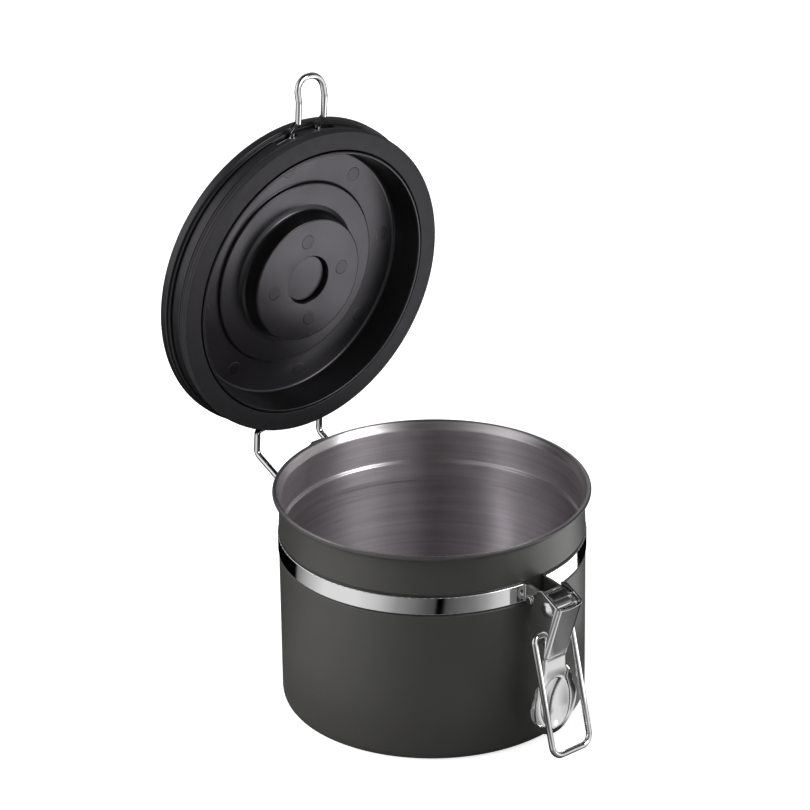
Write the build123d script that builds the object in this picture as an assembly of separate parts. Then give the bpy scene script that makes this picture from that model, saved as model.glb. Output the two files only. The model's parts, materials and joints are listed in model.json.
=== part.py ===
"""Coffee canister with a hinged, valved lid and a lever latch.

Millimetres, +Z up. The origin is the centre of the canister's base. The latch faces -Y, the
hinge is at +Y. The rest pose has the lid open, with the lever and its bail hanging down.
The lid's pieces are drawn closed, about the lid's own centre with its axis along Z, and are
then turned about the hinge into the open pose.
"""

from build123d import *

import os
from math import atan2, cos, degrees, radians, sin, sqrt

# Shares and angles
half = 0.5
quarter_turn = 90.0
full_turn = 360.0

# Canister body
body_radius = 62.5
body_height = 92.7
body_wall = 0.8
base_corner_radius = 4.2
neck_taper = 0.6
lip_reach = 2.2
lip_bead_radius = 1.05
lip_flare_height = 3.4
groove_depth = 1.0
groove_slope = 0.7
groove_play = 0.4

# Clamp band round the body, with two ears at the front
band_height = 7.6
band_drop = 26.3
band_thickness = 1.3
band_play = 0.05
band_edge_round = 0.3
band_bend_radius = 1.0
ear_half_gap = 4.3
ear_tip_radius = 4.2

# Lever pivot, measured from the band's front and the band's lower edge
pivot_reach = 14.35
pivot_rise = 1.8
rivet_radius = 2.0
rivet_head_radius = 3.2
rivet_head_height = 0.9
rivet_dome = 0.8
bush_radius = 3.3
running_play = 0.05
side_play = 0.3

# Clamping screw through the ears
screw_radius = 1.1
screw_head_radius = 1.9
screw_head_height = 1.0
screw_reach = 2.85
screw_rise = 1.7
screw_nut_width = 4.0
screw_nut_thickness = 1.6
screw_nut_play = 0.05
screw_tail = 0.6
nut_turn = 30.0

# Latch lever: a channel that straddles the ears, and a thumb pad
lever_sheet = 0.8
lever_tilt = 18.65
lever_front_depth = 5.77
lever_length = 22.4
lever_fold_radius = 2.0
lever_corner_radius = 0.9
bail_hole_drop = 13.8

# The lever's side wall: how far down the channel and how far out each corner lies
side_top = (-4.2, 5.77)
side_top_back = (-5.8, -5.4)
side_back_high = (-2.8, -8.0)
side_back_low = (9.0, -8.0)
side_ear_back = (15.6, -4.6)
side_ear_front = (16.6, 2.2)
side_scoop = (18.4, 4.3)
side_tip = (22.4, 4.9)
pad_half_width = 12.3
pad_half_height = 14.4
pad_centre_drop = 44.6
pad_back_set = 3.0
pad_sheet = 1.2
pad_dimple_half_width = 8.2
pad_dimple_half_height = 11.6
pad_dimple_depth = 2.2
neck_half_width = 6.1

# Bail
bail_wire_radius = 1.25
bail_half_width = 9.9
bail_length = 50.5
bail_corner_radius = 4.4
bail_end_radius = 2.2
bail_end_inset = 4.6
bail_lean = 13.95

# Lid cover, drawn closed; depths run down from the cover's widest circle
cover_over_flange = 2.1
cover_edge_depth = 3.0
cover_skirt_inset = 1.2
cover_skirt_depth = 4.0
cover_top = 4.6
cover_edge_top = 2.4
cover_edge_round = 1.8
cover_edge_chamfer = 0.5
cover_plate = 2.2
cover_neck_inset = 3.5
cover_neck_wall = 1.8
cover_panel_inset = 9.8
cover_panel_sink = 0.7

# Lid liner
flange_depth = 7.0
flange_thickness = 2.0
flange_over_gasket = 0.3
flange_lip_thickness = 0.7
flange_lip_depth = 4.4
flange_notch_play = 0.5
liner_wall = 1.9
liner_floor_depth = 1.4
liner_rim_inset = 7.7
liner_rim_thickness = 1.2
liner_rim_depth = 14.9
liner_wall_draft = 2.4
boss_wide_radius = 39.6
boss_wide_depth = 3.0
boss_radius = 26.9
boss_depth = 11.1
boss_cove = 3.2
boss_cove_height = 2.0
boss_draft = 0.6
cove_share = 0.5
cove_height_share = 0.35
boss_edge_round = 0.5
snap_ring_play = 0.1
snap_ring_top = 1.0
ejector_radius = 3.4
ejector_sink = 0.12
ejector_boss_circle = 17.6
ejector_floor_shift = 0.4
ejector_boss_count = 4
ejector_floor_count = 8
ejector_boss_turn = -3.0
ejector_floor_turn = -5.0

# Gasket
gasket_over_lip = 0.3
gasket_rim_gap = 0.5
gasket_face_depth = 14.4
gasket_flare = 1.1
gasket_rib_height = 0.6
gasket_rib_pitch = 2.3
gasket_first_rib = 1.7
gasket_rib_count = 2
gasket_seat_play = 0.3
gasket_round = 0.5

# Degassing valve
valve_hole_radius = 10.45
valve_tube_wall = 1.75
valve_tube_top = 2.0
valve_play = 0.05
valve_plug_radius = 9.6
valve_plug_sink = 2.2
valve_plug_thickness = 1.4
valve_spigot_radius = 7.6
valve_spigot_wall = 1.1
valve_spigot_length = 3.0
valve_slot_length = 2.1
valve_skirt_length = 2.4
valve_ring_drop = 0.9
valve_filter_thickness = 0.6
valve_seat_thickness = 1.2
valve_vent_radius = 1.1
valve_vent_circle = 4.2
valve_vent_count = 6
valve_disc_radius = 6.6
valve_disc_thickness = 0.8
valve_disc_play = 0.05
valve_disc_lift = 0.6
valve_guide_wall = 1.0
valve_ring_radius = 0.9
valve_ring_squeeze = 0.05
cap_radius = 13.5
cap_thickness = 1.6
cap_play = 0.1
cap_slot_half_length = 2.6
cap_slot_half_width = 0.6
cap_slot_circle = 8.0
cap_slot_count = 6
cover_vent_radius = 9.0

# Lid wire: ring, front loop and rear legs
wire_radius = 1.3
wire_play = 0.1
loop_half_width = 6.6
loop_reach = 22.4
loop_top_round = 6.0
loop_drop = 3.7
loop_drop_inset = 0.6
loop_drop_length = 5.0
loop_kink_reach = 13.6
loop_kink_rise = 2.6
loop_turn_angle = 12.0
wire_bend_radius = 3.0
wire_exit_bend = 1.8
wire_small_bend = 1.5
leg_half_width = 16.8
leg_turn_angle = 20.0
leg_rise = 4.3
leg_rise_inset = 1.05
leg_rise_length = 3.6
leg_bend_back = 7.95
leg_bend_up = 20.3
crank_back = 13.8
crank_up = 4.2
crank_half_width = 5.0
crank_end = 0.8
crank_end_bend = 2.0

# Hinge at the back
hinge_back = 9.6
hinge_rise = 11.8
open_angle = 85.2
barrel_wall = 0.6
barrel_half_length = 2.8
bracket_sheet = 1.0
bracket_half_angle = 15.0
tongue_sheet = 1.2
tongue_half_width = 2.8

# One overrun for every cut
overrun = 1.0

# Derived places
neck_top_radius = body_radius - neck_taper
lip_outer_radius = body_radius + lip_reach
gasket_radius = lip_outer_radius + gasket_over_lip
flange_radius = gasket_radius + flange_over_gasket
flange_lip_inner = flange_radius - flange_lip_thickness
cover_radius = flange_radius + cover_over_flange
cover_neck_radius = flange_radius - cover_neck_inset
cover_panel_radius = cover_neck_radius - cover_panel_inset
liner_rim_radius = flange_radius - liner_rim_inset
liner_mouth_radius = liner_rim_radius - liner_rim_thickness
liner_floor_radius = liner_mouth_radius - liner_wall_draft
gasket_inner_radius = liner_rim_radius + gasket_rim_gap
ejector_floor_circle = (liner_floor_radius + boss_wide_radius) * half + ejector_floor_shift
loop_tip = cover_radius + loop_reach
loop_kink_start = cover_radius + loop_kink_reach
band_bottom = body_height - band_drop
groove_radius = body_radius - groove_depth
groove_bottom = band_bottom - groove_play
groove_top = band_bottom + band_height + groove_play
band_inner_radius = groove_radius + band_play
band_outer_radius = band_inner_radius + band_thickness
band_top = band_bottom + band_height
ear_outer = ear_half_gap + band_thickness
lever_pivot = (-band_outer_radius - pivot_reach, band_bottom + pivot_rise)
lever_inner = ear_outer + side_play
lever_outer = lever_inner + lever_sheet
wire_depth = flange_depth - wire_radius - wire_play
wire_ring_radius = cover_neck_radius + wire_radius + wire_play
lid_height = body_height + gasket_seat_play + gasket_face_depth
hinge_place = (band_outer_radius + hinge_back, band_top + hinge_rise)


def write_piece(shape, name):
    """Write one piece to its own file, named after its node."""
    shape.label = name
    export_step(shape, os.path.join("parts", name + ".step"))
    print(name, "solids", len(shape.solids()), "volume", round(shape.volume, 1))


def turned(points):
    """Turn a closed outline of (radius, height) points about the Z axis."""
    outline = Polyline(*[(r, 0, z) for r, z in points], close=True)
    return revolve(make_face(outline), Axis.Z)


def ring(inner, outer, low, high):
    """A plain ring about the Z axis."""
    return turned([(inner, low), (outer, low), (outer, high), (inner, high)])


def disc(radius, low, high):
    """A plain disc about the Z axis."""
    return Pos(0, 0, low) * extrude(Circle(radius), high - low)


def along_x(shape_2d, low, high):
    """Extrude a drawing of (y, z) points along X between two places."""
    return Pos(low, 0, 0) * extrude(Plane.YZ * shape_2d, high - low)


def rod_x(radius, low, high, place):
    """A rod along X at a (y, z) place."""
    return along_x(Pos(*place) * Circle(radius), low, high)


def both_sides(half):
    """A half on +X with its mirror image on -X."""
    return half + mirror(half, Plane.YZ)


def tube(path, radius):
    """A round wire swept along a path."""
    start = path @ 0
    return sweep(Plane(origin=start, z_dir=path % 0) * Circle(radius), path=path)


# Canister

def canister_body():
    """A deep round body with a groove for the band and a flared, beaded lip."""
    outer = [
        (groove_bottom - groove_slope, body_radius),
        (groove_bottom, groove_radius),
        (groove_top, groove_radius),
        (groove_top + groove_slope, body_radius),
        (body_height - lip_flare_height, neck_top_radius),
    ]
    bead_place = (lip_outer_radius - lip_bead_radius, body_height - lip_bead_radius)
    floor_corner = base_corner_radius - body_wall
    profile = Polyline((0, 0), (body_radius - base_corner_radius, 0))
    profile += RadiusArc(
        (body_radius - base_corner_radius, 0), (body_radius, base_corner_radius), -base_corner_radius
    )
    wall_out = [(r, z) for z, r in outer]
    wall_in = [(r - body_wall, z) for z, r in reversed(outer)]
    profile += Polyline((body_radius, base_corner_radius), *wall_out, bead_place)
    bead_inside = (bead_place[0] - body_wall / cos(radians(flare_lean())), bead_place[1])
    profile += Polyline(bead_place, bead_inside, *wall_in, (body_radius - body_wall, base_corner_radius))
    profile += RadiusArc(
        (body_radius - body_wall, base_corner_radius),
        (body_radius - base_corner_radius, body_wall),
        floor_corner,
    )
    profile += Polyline((body_radius - base_corner_radius, body_wall), (0, body_wall), (0, 0))
    section = make_face(profile) + Pos(*bead_place) * Circle(lip_bead_radius)
    return revolve(Plane.XZ * section, Axis.Z)


def flare_lean():
    """The lean of the flare under the lip, in degrees from vertical."""
    reach = lip_outer_radius - lip_bead_radius - neck_top_radius
    return degrees(atan2(reach, lip_flare_height - lip_bead_radius))


def screw_place():
    """Where the clamping screw crosses the ears, as (y, z)."""
    return (-band_outer_radius - screw_reach, band_bottom + screw_rise)


def ear_outline():
    """The ears seen from the side, from the band out to the lever's pivot, as a (y, z) drawing."""
    y, z = lever_pivot
    straight = screw_place()[0]
    web = Polyline(
        (0, band_bottom), (straight, band_bottom), (y, z - ear_tip_radius), (y, z + ear_tip_radius),
        (straight, band_top), (0, band_top), close=True,
    )
    return make_face(web) + Pos(y, z) * Circle(ear_tip_radius)


def band_plan():
    """The band seen from above: an open ring whose two ends turn out into ears."""
    root = sqrt(band_inner_radius**2 - ear_outer**2)
    reach = -lever_pivot[0] + ear_tip_radius
    ear = Pos((ear_half_gap + ear_outer) * half, -(root + reach) * half) * Rectangle(
        band_thickness, reach - root
    )
    gap = Pos(0, -band_outer_radius) * Rectangle(2 * ear_half_gap, band_outer_radius)
    plan = Circle(band_outer_radius) + ear + mirror(ear, Plane.YZ) - Circle(band_inner_radius) - gap
    hollow = (ear_outer, -sqrt(band_outer_radius**2 - ear_outer**2))
    crest = (ear_half_gap, -sqrt(band_inner_radius**2 - ear_half_gap**2))
    for place, bend in ((hollow, band_bend_radius), (crest, band_bend_radius + band_thickness)):
        corners = [
            corner
            for corner in plan.vertices()
            if abs(abs(corner.X) - place[0]) + abs(corner.Y - place[1]) < band_play
        ]
        plan = fillet(corners, bend)
    return plan


def clamp_band():
    """A polished steel band whose two ends turn out into ears."""
    strip = Pos(0, 0, band_bottom - ear_tip_radius) * extrude(band_plan(), band_height + 2 * ear_tip_radius)
    strip &= along_x(ear_outline(), -ear_outer - band_bend_radius, ear_outer + band_bend_radius) + disc(
        band_outer_radius, band_bottom, band_top
    )
    rims = strip.edges().filter_by(
        lambda edge: edge.geom_type == GeomType.CIRCLE
        and abs(edge.radius - band_outer_radius) < band_play
        and edge.length > band_outer_radius
    )
    band = fillet(rims, band_edge_round)
    band -= rod_x(rivet_radius + running_play, -lever_outer, lever_outer, lever_pivot)
    return band - rod_x(screw_radius + running_play, -lever_outer, lever_outer, screw_place())


def band_screw():
    """The screw that pulls the band's ears together."""
    shank = rod_x(screw_radius, -ear_outer, ear_outer + screw_nut_thickness + screw_tail, screw_place())
    head = rod_x(screw_head_radius, -ear_outer - screw_head_height, -ear_outer, screw_place())
    rim = head.edges().filter_by(GeomType.CIRCLE).group_by(Axis.X)[0]
    return shank + fillet(rim, screw_head_height * half)


def band_nut():
    """The screw's hexagonal nut."""
    y, z = screw_place()
    hexagon = Rot(0, 0, nut_turn) * RegularPolygon(screw_nut_width * half, 6, major_radius=False)
    flats = Pos(y, z) * (hexagon - Circle(screw_radius + screw_nut_play))
    return along_x(flats, ear_outer, ear_outer + screw_nut_thickness)


def ear_bush():
    """The bush that keeps the ears apart round the lever's rivet."""
    bush = rod_x(bush_radius, -ear_half_gap, ear_half_gap, lever_pivot)
    return bush - rod_x(rivet_radius + running_play, -lever_outer, lever_outer, lever_pivot)


def hinge_bracket():
    """A bracket on the back of the band that ends in the hinge barrel."""
    y, z = hinge_place
    shell = ring(band_outer_radius, band_outer_radius + bracket_sheet, band_bottom, band_top)
    reach = 2 * (band_outer_radius + bracket_sheet)
    side = reach * sin(radians(bracket_half_angle))
    wedge = make_face(Polyline((0, 0), (side, reach), (-side, reach), close=True))
    base = shell & Pos(0, 0, band_bottom) * extrude(wedge, band_height)
    foot = band_outer_radius
    barrel_radius = wire_radius + running_play + barrel_wall
    lean = sqrt((y - foot) ** 2 + (z - band_top) ** 2)
    across = (tongue_sheet * (z - band_top) / lean, tongue_sheet * (y - foot) / lean)
    sheet = make_face(
        Polyline(
            (foot, band_top - tongue_sheet), (foot, band_top), (y, z), (y + across[0], z - across[1]),
            (foot + across[0] + bracket_sheet, band_top - tongue_sheet), close=True,
        )
    )
    tongue = along_x(sheet, -tongue_half_width, tongue_half_width)
    barrel = rod_x(barrel_radius, -barrel_half_length, barrel_half_length, hinge_place)
    bore = rod_x(wire_radius + running_play, -body_radius, body_radius, hinge_place)
    return base + tongue + barrel - bore


# Latch lever and bail

def lever_point(down, out):
    """A (y, z) place on the lever: down the channel from its pivot, and out from the can."""
    lean = radians(lever_tilt)
    y, z = lever_pivot
    return (y + down * sin(lean) - out * cos(lean), z - down * cos(lean) - out * sin(lean))


def lever_side():
    """The outline of the channel's side wall, as a (y, z) drawing with rounded corners."""
    tip_front = (side_tip[0], lever_front_depth)
    corners = [
        side_top, side_top_back, side_back_high, side_back_low, side_ear_back, side_ear_front,
        side_scoop, side_tip, tip_front,
    ]
    wall = make_face(Polyline(*[lever_point(*corner) for corner in corners], close=True))
    soft = [lever_point(*corner) for corner in (side_top_back, side_back_high, side_back_low,
                                                side_ear_back, side_ear_front, side_scoop)]
    picked = [
        vertex
        for vertex in wall.vertices()
        if min(abs(vertex.X - y) + abs(vertex.Y - z) for y, z in soft) < side_play
    ]
    return fillet(picked, lever_corner_radius)


def lever_channel():
    """The bent sheet: a front wall with rounded folds into two side walls."""
    lean = radians(lever_tilt)
    start = lever_point(side_top_back[0] - overrun, 0)
    depth = lever_front_depth - side_back_high[1]
    middle = (lever_front_depth + side_back_high[1]) * half
    outside = Pos(0, middle) * Rectangle(2 * lever_outer, depth)
    inside = Pos(0, middle - lever_sheet) * Rectangle(2 * lever_inner, depth)
    outside = fillet(outside.vertices().group_by(Axis.Y)[-1], lever_fold_radius)
    inside = fillet(inside.vertices().group_by(Axis.Y)[-1], lever_fold_radius - lever_sheet)
    across = Plane(origin=(0, *start), x_dir=(1, 0, 0), z_dir=(0, sin(lean), -cos(lean)))
    bent = extrude(across * (outside - inside), side_tip[0] - side_top_back[0] + overrun)
    return bent & along_x(lever_side(), -lever_outer, lever_outer)


def pad_place():
    """The middle of the thumb pad's back, as (y, z)."""
    y, z = lever_pivot
    return (y + pad_back_set, z - pad_centre_drop)


def thumb_pad():
    """The dished thumb pad and the neck that joins it to the channel."""
    y, z = pad_place()
    top = lever_point(lever_length, lever_front_depth - lever_sheet)
    oval = Pos(0, z) * Ellipse(pad_half_width, pad_half_height)
    neck_height = top[1] - z
    neck = Pos(0, z + neck_height * half) * Rectangle(2 * neck_half_width, neck_height)
    sheet = extrude(Plane.XZ * (oval + neck), pad_sheet)
    pad = Pos(0, y, 0) * sheet
    bowl_scale = pad_dimple_depth + pad_sheet
    sphere = Sphere(1)
    inner = scale(sphere, by=(pad_dimple_half_width, pad_dimple_depth, pad_dimple_half_height))
    outer = scale(
        sphere,
        by=(pad_dimple_half_width + pad_sheet, bowl_scale, pad_dimple_half_height + pad_sheet),
    )
    front = y - pad_sheet
    back_half = Pos(0, y + bowl_scale * half, z) * Box(
        2 * pad_half_width, bowl_scale, 2 * pad_half_height
    )
    bowl = (Pos(0, front, z) * outer) & back_half
    return pad + bowl - Pos(0, front, z) * inner


def latch_lever():
    """The pressed lever: the bent channel and the thumb pad in one piece."""
    lever = lever_channel() + thumb_pad()
    lever -= rod_x(rivet_radius, -lever_outer - overrun, lever_outer + overrun, lever_pivot)
    hole = rod_x(bail_wire_radius + running_play, -lever_outer - overrun, lever_outer + overrun, bail_pivot())
    return lever - hole


def lever_rivet():
    """The rivet that the lever turns on, with a domed head at each side."""
    pin = rod_x(rivet_radius, -lever_outer, lever_outer, lever_pivot)
    head = rod_x(rivet_head_radius, lever_outer, lever_outer + rivet_head_height, lever_pivot)
    rim = head.edges().filter_by(GeomType.CIRCLE).group_by(Axis.X)[-1]
    return pin + both_sides(fillet(rim, rivet_dome))


def bail_pivot():
    """Where the bail's ends turn in the lever, as (y, z)."""
    return lever_point(bail_hole_drop, 0)


def latch_bail():
    """A rectangular wire bail with its ends turned in through the lever."""
    y, z = bail_pivot()
    lean = radians(bail_lean)
    low = (y - bail_length * sin(lean), z - bail_length * cos(lean))
    path = FilletPolyline(
        (bail_end_inset, y, z),
        (bail_half_width, y, z),
        (bail_half_width, *low),
        (0, *low),
        radius=[bail_end_radius, bail_corner_radius],
    )
    return both_sides(tube(path, bail_wire_radius))


# Lid, drawn closed about its own centre

def lid_cover():
    """The lid's top shell: an overhanging edge, a neck for the wire and a flat top."""
    neck_inside = cover_neck_radius - cover_neck_wall
    under = -cover_top + cover_plate
    points = [
        (cap_radius + cap_play, cover_top - cap_thickness),
        (cap_radius + cap_play, cover_top - cover_panel_sink),
        (cover_panel_radius, cover_top - cover_panel_sink),
        (cover_panel_radius + cover_panel_sink, cover_top),
        (cover_neck_radius, cover_top),
        (cover_radius - cover_edge_round, cover_edge_top),
        (cover_radius, cover_edge_top - cover_edge_round),
        (cover_radius, -cover_edge_depth + cover_edge_chamfer),
        (cover_radius - cover_edge_chamfer, -cover_edge_depth),
        (cover_radius - cover_skirt_inset, -cover_edge_depth),
        (cover_radius - cover_skirt_inset, -cover_skirt_depth),
        (cover_neck_radius, -cover_skirt_depth),
        (cover_neck_radius, -flange_depth),
        (neck_inside, -flange_depth),
        (neck_inside, -under),
        (cover_vent_radius, -under),
        (cover_vent_radius, cover_top - cap_thickness),
    ]
    return turned(points)


def liner_outline():
    """The liner's section as (radius, height) points, with depths counted down."""
    floor_back = liner_floor_depth - liner_wall
    snap_outer = cover_neck_radius - cover_neck_wall - snap_ring_play
    snap_inner = snap_outer - liner_wall
    lean = (liner_mouth_radius - liner_floor_radius) / (liner_rim_depth - liner_floor_depth)
    flange_base = flange_depth + flange_thickness
    wall_back = liner_floor_radius + liner_wall
    points = [
        (valve_hole_radius, boss_depth),
        (boss_radius - boss_edge_round, boss_depth),
        (boss_radius, boss_depth - boss_edge_round),
        (boss_radius + boss_draft, boss_wide_depth + boss_cove_height),
        (boss_radius + boss_cove * cove_share, boss_wide_depth + boss_cove_height * cove_height_share),
        (boss_radius + boss_cove, boss_wide_depth),
        (boss_wide_radius - boss_edge_round, boss_wide_depth),
        (boss_wide_radius, boss_wide_depth - boss_edge_round),
        (boss_wide_radius + boss_edge_round, liner_floor_depth),
        (liner_floor_radius, liner_floor_depth),
        (liner_mouth_radius - lean * boss_edge_round, liner_rim_depth - boss_edge_round),
        (liner_mouth_radius, liner_rim_depth),
        (liner_rim_radius, liner_rim_depth),
        (liner_rim_radius, flange_base),
        (flange_radius, flange_base),
        (flange_radius, flange_lip_depth),
        (flange_lip_inner, flange_lip_depth),
        (flange_lip_inner, flange_depth),
        (snap_outer, flange_depth),
        (snap_outer, -snap_ring_top),
        (snap_inner, -snap_ring_top),
        (snap_inner, flange_depth),
        (wall_back + lean * (flange_depth - floor_back), flange_depth),
        (wall_back, floor_back),
        (boss_radius - liner_wall, floor_back),
        (boss_radius - liner_wall, boss_depth - liner_wall),
        (valve_hole_radius + valve_tube_wall, boss_depth - liner_wall),
        (valve_hole_radius + valve_tube_wall, -valve_tube_top),
        (valve_hole_radius, -valve_tube_top),
    ]
    return [(r, -depth) for r, depth in points]


def lid_liner():
    """The dished underside with its two bosses, valve tube and moulding marks."""
    liner = turned(liner_outline())
    lip_cut = ring(flange_lip_inner - wire_play, flange_radius + overrun, -flange_depth, -flange_lip_depth + overrun)
    for exit_angle, half_width, side in (
        (loop_turn_angle, loop_half_width, -1), (leg_turn_angle, leg_half_width, 1),
    ):
        notch_start = half_width - wire_radius - flange_notch_play
        notch_end = wire_ring_radius * sin(radians(exit_angle)) + wire_radius + flange_notch_play
        notch = Pos(notch_start, side * flange_radius, -flange_depth) * Box(
            notch_end - notch_start, flange_radius,
            2 * (flange_depth - flange_lip_depth) + 2 * flange_notch_play,
            align=(Align.MIN, Align.CENTER, Align.CENTER),
        )
        liner -= both_sides(notch) & lip_cut
    marks = [
        (ejector_boss_circle, ejector_boss_count, ejector_boss_turn, -boss_depth),
        (ejector_floor_circle, ejector_floor_count, ejector_floor_turn, -liner_floor_depth),
    ]
    for circle, count, turn, face in marks:
        mark = ring(ejector_radius - ejector_sink, ejector_radius, face - ejector_sink, face + ejector_sink)
        for number in range(count):
            liner -= Rot(0, 0, turn + number * full_turn / count) * Pos(circle, 0, 0) * mark
    return liner


def lid_gasket():
    """The soft ring that closes on the canister's lip, with ribs round its side."""
    top = -(flange_depth + flange_thickness)
    face = -gasket_face_depth
    wide = gasket_radius + gasket_flare
    slope = gasket_flare / (top - face)
    side = [(wide - gasket_round, face), (wide - gasket_round * slope, face + gasket_round)]
    for number in range(gasket_rib_count):
        rise = gasket_first_rib + gasket_rib_pitch * number
        middle = wide - rise * slope
        side += [
            (middle + gasket_rib_height * slope, face + rise - gasket_rib_height),
            (middle + gasket_rib_height, face + rise),
            (middle - gasket_rib_height * slope, face + rise + gasket_rib_height),
        ]
    return turned([(gasket_inner_radius, face), *side, (gasket_radius, top), (gasket_inner_radius, top)])


def ring_exit(angle, half_width, side):
    """Where the wire leaves its ring, and the corner where it turns outwards."""
    turn = radians(angle)
    run = (wire_ring_radius * sin(turn) - half_width) / cos(turn)
    start = (wire_ring_radius * sin(turn), side * wire_ring_radius * cos(turn), -wire_depth)
    corner = (half_width, side * (wire_ring_radius * cos(turn) + run * sin(turn)), -wire_depth)
    return start, corner


def lid_wire():
    """One wire: a ring in the lid's groove, a loop in front and two cranked legs behind."""
    front_start, front_corner = ring_exit(loop_turn_angle, loop_half_width, -1)
    loop_low = -wire_depth - loop_drop
    loop_high = loop_low + loop_kink_rise
    drop = cover_radius - loop_drop_inset
    loop = FilletPolyline(
        (0, -loop_tip, loop_high),
        (loop_half_width, -loop_tip, loop_high),
        (loop_half_width, -loop_kink_start, loop_low),
        (loop_half_width, -drop - loop_drop_length, loop_low),
        (loop_half_width, -drop, -wire_depth),
        front_corner,
        front_start,
        radius=[loop_top_round, wire_bend_radius, wire_small_bend, wire_small_bend, wire_exit_bend],
    )
    back_start, back_corner = ring_exit(leg_turn_angle, leg_half_width, 1)
    leg_high = -wire_depth + leg_rise
    rise = cover_radius - leg_rise_inset
    pivot_y = hinge_place[0]
    pivot_z = hinge_place[1] - lid_height
    leg = FilletPolyline(
        back_start,
        back_corner,
        (leg_half_width, rise, -wire_depth),
        (leg_half_width, rise + leg_rise_length, leg_high),
        (leg_half_width, pivot_y + leg_bend_back, pivot_z + leg_bend_up),
        (leg_half_width, pivot_y + crank_back, pivot_z + crank_up),
        (crank_half_width, pivot_y + crank_back, pivot_z + crank_up),
        (crank_half_width, pivot_y, pivot_z),
        (crank_end, pivot_y, pivot_z),
        radius=[wire_exit_bend, wire_small_bend, wire_bend_radius, wire_bend_radius, wire_bend_radius,
                wire_bend_radius, crank_end_bend],
    )
    middle = (wire_ring_radius, 0, -wire_depth)
    arc = ThreePointArc(front_start, middle, back_start)
    path = Wire([*loop.edges(), *arc.edges(), *leg.edges()])
    return both_sides(tube(path, wire_radius))


# Valve, drawn closed about the lid's centre

def plug_depth():
    """How deep the valve plug's face lies."""
    return boss_depth - valve_plug_sink


def spigot_depth():
    """How deep the top of the plug's spigot lies."""
    return plug_depth() - valve_plug_thickness - valve_spigot_length


def seat_depth():
    """How deep the valve seat's outer face lies."""
    return spigot_depth() - valve_filter_thickness - valve_seat_thickness


def valve_plug():
    """The plain disc in the boss that keeps grounds out, on a split spigot."""
    face = -plug_depth()
    plate = disc(valve_plug_radius, face, face + valve_plug_thickness)
    spigot = ring(
        valve_spigot_radius - valve_spigot_wall, valve_spigot_radius,
        face + valve_plug_thickness, -spigot_depth(),
    )
    slot = Pos(0, 0, face + valve_plug_thickness + valve_slot_length * half) * Box(
        2 * valve_plug_radius, 2 * valve_vent_radius, valve_slot_length
    )
    return plate + spigot - slot - Rot(0, 0, quarter_turn) * slot


def valve_filter():
    """A thin filter disc between the plug's spigot and the seat."""
    return disc(valve_spigot_radius, -spigot_depth(), -spigot_depth() + valve_filter_thickness)


def valve_housing():
    """The cup in the liner's tube, with the vented seat and a guide for the disc."""
    outer = valve_hole_radius - valve_play
    seat = -seat_depth()
    skirt_low = -(spigot_depth() + valve_skirt_length)
    guide_inner = valve_disc_radius + valve_disc_play
    shell = ring(valve_spigot_radius + valve_play, outer, skirt_low, seat - valve_seat_thickness)
    plate = disc(outer, seat - valve_seat_thickness, seat)
    guide_top = seat + valve_disc_thickness + valve_disc_lift + valve_disc_play
    guide = ring(guide_inner, guide_inner + valve_guide_wall, seat, guide_top)
    groove = Pos(0, 0, ring_height()) * Torus(outer, valve_ring_radius - valve_ring_squeeze)
    housing = shell + plate + guide - groove
    for number in range(valve_vent_count):
        vent = disc(valve_vent_radius, seat - valve_seat_thickness - overrun, seat + overrun)
        housing -= Rot(0, 0, number * full_turn / valve_vent_count) * Pos(valve_vent_circle, 0, 0) * vent
    return housing


def ring_height():
    """The height of the small sealing ring round the valve housing."""
    return -(spigot_depth() + valve_ring_drop)


def valve_ring():
    """The small sealing ring between the housing and the liner's tube."""
    band = ring(
        valve_hole_radius - valve_play - valve_ring_radius, valve_hole_radius,
        ring_height() - valve_ring_radius, ring_height() + valve_ring_radius,
    )
    loop = Torus(valve_hole_radius - valve_play, valve_ring_radius - valve_ring_squeeze)
    return (Pos(0, 0, ring_height()) * loop) & band


def valve_disc():
    """The soft disc that lifts off the seat to let gas out."""
    seat = -seat_depth()
    return disc(valve_disc_radius, seat, seat + valve_disc_thickness)


def valve_cap():
    """The vented cap in the top of the cover, which stops the disc from leaving its seat."""
    under = cover_top - cap_thickness
    cap = disc(cap_radius, under, cover_top - cover_panel_sink * half)
    seat = -seat_depth()
    stop_low = seat + valve_disc_thickness + valve_disc_lift + valve_disc_play * 2
    stop = ring(valve_disc_radius - valve_guide_wall, valve_disc_radius, stop_low, under)
    cap += stop
    slot_shape = SlotCenterToCenter(2 * cap_slot_half_length, 2 * cap_slot_half_width)
    for number in range(cap_slot_count):
        slot = Pos(cap_slot_circle, 0, under - overrun) * extrude(
            Rot(0, 0, quarter_turn) * slot_shape, cap_thickness + 2 * overrun
        )
        cap -= Rot(0, 0, number * full_turn / cap_slot_count) * slot
    return cap


def open_pose():
    """The move that takes the lid's drawing to its open place on the hinge."""
    y, z = hinge_place
    return Pos(0, y, z) * Rot(-open_angle, 0, 0) * Pos(0, -y, lid_height - z)


fixed_pieces = {
    "canister_body": canister_body,
    "clamp_band": clamp_band,
    "band_screw": band_screw,
    "band_nut": band_nut,
    "ear_bush": ear_bush,
    "hinge_bracket": hinge_bracket,
    "latch_lever": latch_lever,
    "lever_rivet": lever_rivet,
    "latch_bail": latch_bail,
}

lid_pieces = {
    "lid_cover": lid_cover,
    "lid_liner": lid_liner,
    "lid_gasket": lid_gasket,
    "lid_wire": lid_wire,
    "valve_plug": valve_plug,
    "valve_filter": valve_filter,
    "valve_housing": valve_housing,
    "valve_ring": valve_ring,
    "valve_disc": valve_disc,
    "valve_cap": valve_cap,
}


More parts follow.
